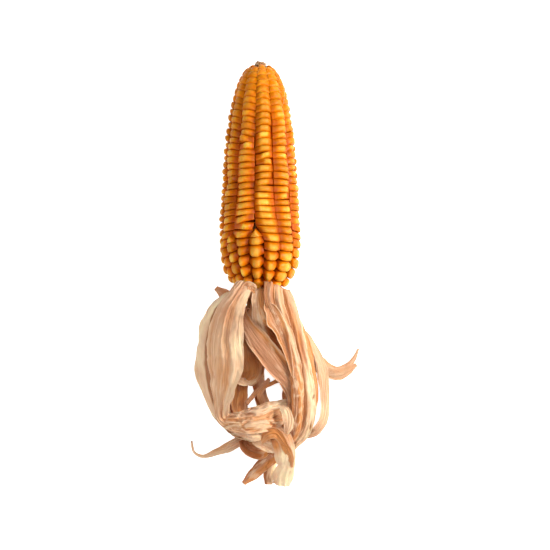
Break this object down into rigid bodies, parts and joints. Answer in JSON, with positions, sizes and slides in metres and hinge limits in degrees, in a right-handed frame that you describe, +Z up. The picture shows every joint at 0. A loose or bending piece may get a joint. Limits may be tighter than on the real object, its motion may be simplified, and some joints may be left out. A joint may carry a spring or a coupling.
{
  "type": "corn cob",
  "caption": "Dried ear of maize lying on its side: long rows of orange kernels round a core, dry husk leaves peeled back below it and tied in a loose knot.",
  "frame": {"origin": "middle of the underside of the whole object's box, on the surface that the ear lies on", "axes": "+Y along the ear towards its tip, with the husk trailing along -Y; +Z up; +X to the right, seen from above with the tip up"},
  "size_m": [0.0992, 0.2486, 0.051],
  "materials": {
    "kernel": "satin",
    "core": "matte",
    "shank": "matte",
    "husk": "matte"
  },
  "bodies": {
    "root": {"kernel_row_01": "kernel", "kernel_row_02": "kernel", "kernel_row_03": "kernel", "kernel_row_04": "kernel", "kernel_row_05": "kernel", "kernel_row_06": "kernel", "kernel_row_07": "kernel", "kernel_row_08": "kernel", "kernel_row_09": "kernel", "kernel_row_10": "kernel", "kernel_row_11": "kernel", "kernel_row_12": "kernel", "kernel_row_13": "kernel", "kernel_row_14": "kernel", "cob_core": "core", "shank": "shank", "husk_front_left": "husk", "husk_outer_left": "husk", "husk_inner_left": "husk", "husk_inner_strip": "husk", "husk_diagonal": "husk", "husk_front_centre": "husk", "husk_front_right": "husk", "husk_shoulder_right": "husk", "husk_band_end": "husk", "husk_side_right": "husk", "husk_loop_right": "husk", "husk_wisp_right": "husk", "husk_stub_left": "husk", "husk_rear_left": "husk", "husk_rear_centre": "husk", "husk_rear_right": "husk"}
  },
  "joints": []
}
